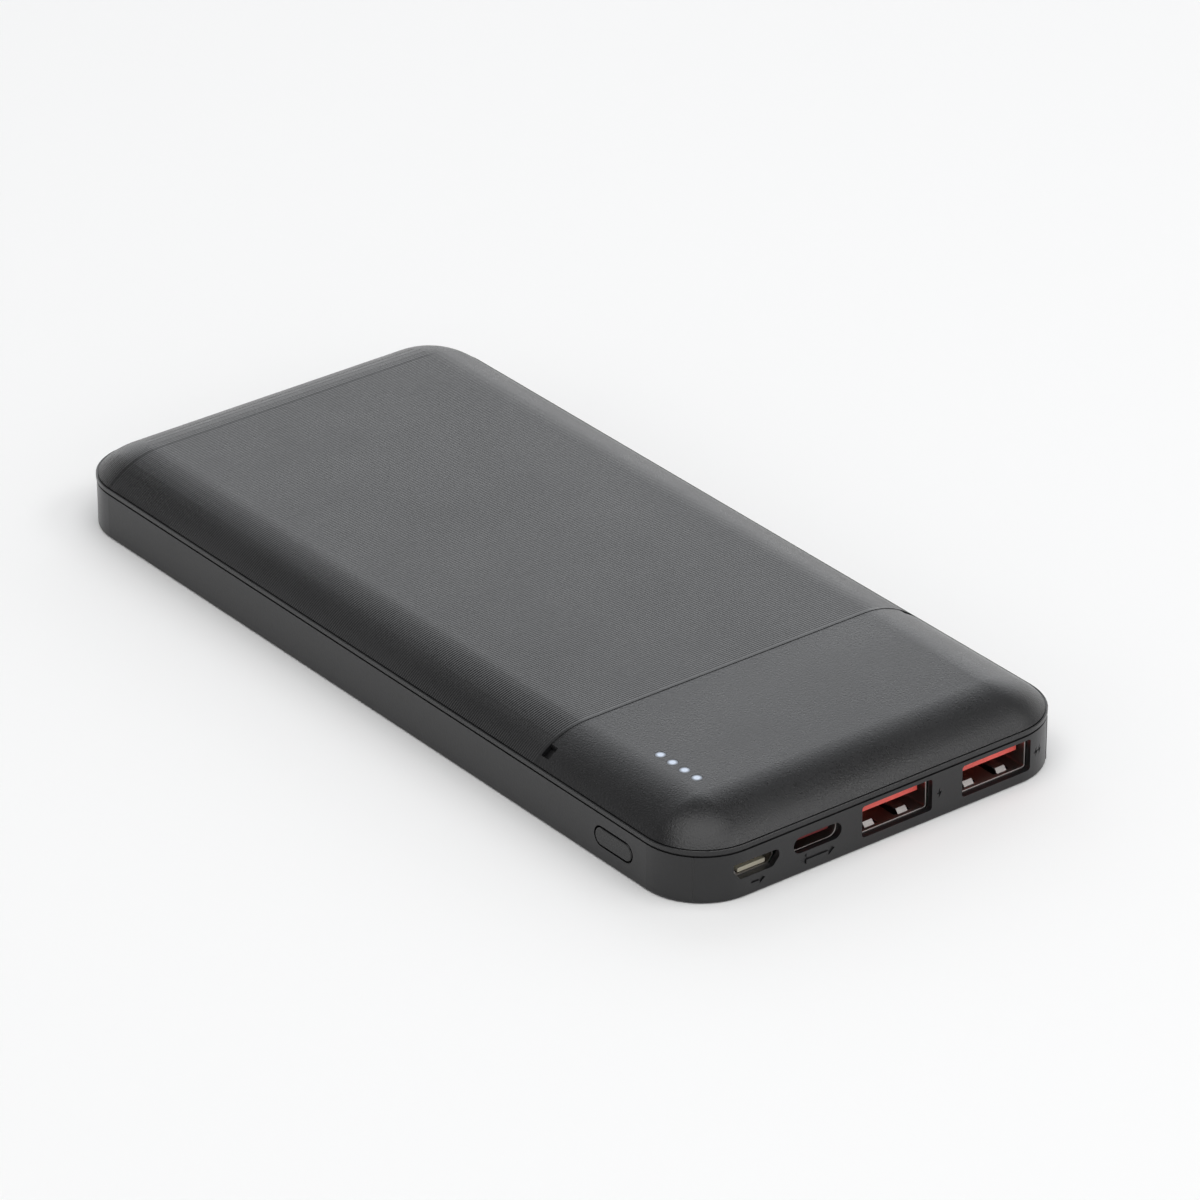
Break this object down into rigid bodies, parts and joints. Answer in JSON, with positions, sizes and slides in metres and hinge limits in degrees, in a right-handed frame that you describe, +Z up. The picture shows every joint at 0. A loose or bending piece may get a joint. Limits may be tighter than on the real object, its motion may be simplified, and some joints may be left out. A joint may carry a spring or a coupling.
{
  "type": "power bank",
  "caption": "Flat pocket power bank: rounded tray and cover, USB-A outputs, USB-C and micro-USB ports in one end, side key, light dots.",
  "frame": {"origin": "middle of the case on the surface it lies on", "axes": "+X across the case to the side without the key, +Y along it away from the ports, +Z up through the cover"},
  "size_m": [0.0726, 0.156, 0.0128],
  "materials": {
    "case_black": "fine spark-eroded texture, satin",
    "key_black": "satin",
    "clear_guide": "clear diffusing plastic, lit",
    "baffle_black": "matt",
    "lamp_white": "moulded lens",
    "board_green": "solder resist, satin",
    "port_steel": "nickel-plated sheet",
    "port_coral": "moulded insulator",
    "port_red": "moulded insulator",
    "port_grey": "moulded insulator",
    "contact_gold": "gold-plated",
    "ferrite": "moulded iron powder, matt",
    "tinned": "tin-plated copper",
    "can_silver": "bright can",
    "ceramic_tan": "sintered ceramic",
    "chip_black": "moulded epoxy",
    "screw_steel": "zinc-plated",
    "pouch_foil": "laminated foil, satin",
    "tab_nickel": "nickel strip",
    "tape_amber": "polyimide film",
    "lead_red": "silicone insulation",
    "lead_black": "silicone insulation",
    "pad_white": "adhesive tape",
    "foam_grey": "closed-cell foam",
    "bead_black": "epoxy bead"
  },
  "bodies": {
    "root": {"bottom_housing": "case_black", "top_cover": "case_black", "switch_body": "chip_black", "switch_cover": "port_steel", "switch_dome": "tinned", "led_light_guide": "clear_guide", "led_baffle": "baffle_black", "status_leds": "lamp_white", "main_board": "board_green", "usb_a_left_shell": "port_steel", "usb_a_left_insulator": "port_coral", "usb_a_left_contacts": "contact_gold", "usb_a_right_shell": "port_steel", "usb_a_right_insulator": "port_coral", "usb_a_right_contacts": "contact_gold", "usb_c_shell": "port_steel", "usb_c_insulator": "port_red", "usb_c_contacts": "contact_gold", "micro_usb_shell": "port_steel", "micro_usb_insulator": "port_grey", "micro_usb_contacts": "contact_gold", "power_inductor": "ferrite", "inductor_terminals": "tinned", "polymer_capacitors": "can_silver", "ceramic_capacitors": "ceramic_tan", "chip_resistors": "chip_black", "power_controller_chip": "chip_black", "charge_control_chip": "chip_black", "power_mosfets": "chip_black", "board_screws": "screw_steel", "battery_cell_lower": "pouch_foil", "battery_cell_upper": "pouch_foil", "cell_tabs": "tab_nickel", "protection_board": "board_green", "protection_chips": "chip_black", "protection_tape": "tape_amber", "lead_positive": "lead_red", "lead_negative": "lead_black", "cell_thermistor": "bead_black", "cell_adhesive_pads": "pad_white", "cell_bond_tape": "pad_white", "top_foam_pad": "foam_grey"},
    "power_button": {"power_button": "key_black"},
    "switch_plunger": {"switch_plunger": "chip_black"}
  },
  "joints": [
    {"name": "power_button_press", "type": "slide", "parent": "root", "child": "power_button", "axis": [1, 0, 0], "range_m": [0, 0.0003], "stiffness_N_per_m": 1500},
    {"name": "switch_plunger_press", "type": "slide", "parent": "root", "child": "switch_plunger", "axis": [1, 0, 0], "range_m": [0, 0.0003]}
  ],
  "couplings": [
    {"joint": "switch_plunger_press", "follows": "power_button_press", "ratio": 1}
  ]
}
